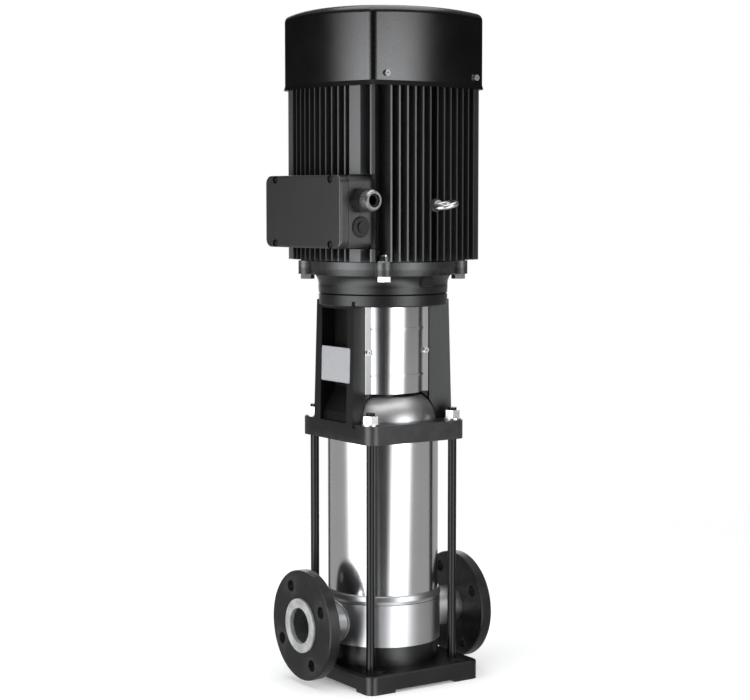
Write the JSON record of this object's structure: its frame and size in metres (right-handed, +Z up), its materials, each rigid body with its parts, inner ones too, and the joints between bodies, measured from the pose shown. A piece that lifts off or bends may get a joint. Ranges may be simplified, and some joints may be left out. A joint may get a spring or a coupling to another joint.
{
  "type": "vertical multistage pump",
  "caption": "Vertical in-line multistage centrifugal pump: cast base, stainless chamber and sleeve between tie rods, motor stool with guards, finned motor on top.",
  "frame": {"origin": "centre of the foundation bolt pattern, on the underside of the base's feet", "axes": "+Z up the shaft, +X out of the discharge port; the suction port and terminal box face -X and the lifting eye faces -Y"},
  "size_m": [0.3094, 0.2833, 1.0076],
  "materials": {
    "cast_black": "semi-gloss black paint on cast iron",
    "stainless_satin": "satin stainless steel",
    "collar_steel": "matt machined sealing face",
    "stainless_polished": "mirror-polished stainless sheet",
    "steel_black": "gloss black enamel on steel",
    "zinc_bright": "bright zinc plate",
    "motor_black": "satin black paint on cast aluminium",
    "shaft_steel": "ground steel",
    "coupling_iron": "machined grey iron",
    "seal_carbide": "dark silicon carbide",
    "seal_rubber": "black rubber",
    "black_plastic": "black moulding",
    "gland_nickel": "nickel plate",
    "plate_silver": "bare silver plate"
  },
  "bodies": {
    "pump": {"base_plate": "cast_black", "motor_stool": "cast_black", "port_chamber": "stainless_satin", "pump_head": "stainless_satin", "sleeve_ring": "stainless_satin", "stack_clamp": "stainless_satin", "inlet_duct": "stainless_satin", "vent_plug": "stainless_satin", "drain_plug": "stainless_satin", "stage_chamber_1": "stainless_satin", "stage_chamber_2": "stainless_satin", "stage_chamber_3": "stainless_satin", "stage_chamber_4": "stainless_satin", "stage_chamber_5": "stainless_satin", "suction_collar": "collar_steel", "discharge_collar": "collar_steel", "outer_sleeve": "stainless_polished", "coupling_guard_front": "stainless_polished", "coupling_guard_rear": "stainless_polished", "tie_rods": "steel_black", "fan_cover": "steel_black", "motor_nuts": "steel_black", "lid_screws": "steel_black", "tie_rod_nuts": "zinc_bright", "tie_rod_washers": "zinc_bright", "guard_screws": "zinc_bright", "cover_screws": "zinc_bright", "lifting_eye": "zinc_bright", "motor_bolts": "zinc_bright", "motor_frame": "motor_black", "motor_flange": "motor_black", "fan_end_shield": "motor_black", "terminal_box": "motor_black", "terminal_lid": "motor_black", "motor_bearings": "shaft_steel", "stator": "shaft_steel", "bottom_bush": "seal_carbide", "seal_seat": "seal_carbide", "chamber_gasket": "seal_rubber", "terminal_gasket": "seal_rubber", "terminal_board": "black_plastic", "blind_plug": "black_plastic", "gland_body": "black_plastic", "gland_ring": "gland_nickel", "nameplate": "plate_silver"},
    "rotor": {"pump_shaft": "shaft_steel", "impeller_1": "stainless_satin", "impeller_2": "stainless_satin", "impeller_3": "stainless_satin", "impeller_4": "stainless_satin", "impeller_5": "stainless_satin", "coupling_half_front": "coupling_iron", "coupling_half_rear": "coupling_iron", "coupling_screws": "shaft_steel", "motor_shaft": "shaft_steel", "rotor_core": "shaft_steel", "cooling_fan": "black_plastic", "seal_spring_unit": "shaft_steel"},
    "suction_ring": {"suction_flange": "cast_black"},
    "discharge_ring": {"discharge_flange": "cast_black"}
  },
  "joints": [
    {"name": "rotor_spin", "type": "hinge", "parent": "pump", "child": "rotor", "pos_m": [0, 0, 0.5], "axis": [0, 0, 1], "continuous": true},
    {"name": "suction_flange_turn", "type": "hinge", "parent": "pump", "child": "suction_ring", "pos_m": [-0.138, 0, 0.09], "axis": [1, 0, 0], "continuous": true},
    {"name": "discharge_flange_turn", "type": "hinge", "parent": "pump", "child": "discharge_ring", "pos_m": [0.138, 0, 0.09], "axis": [1, 0, 0], "continuous": true}
  ]
}
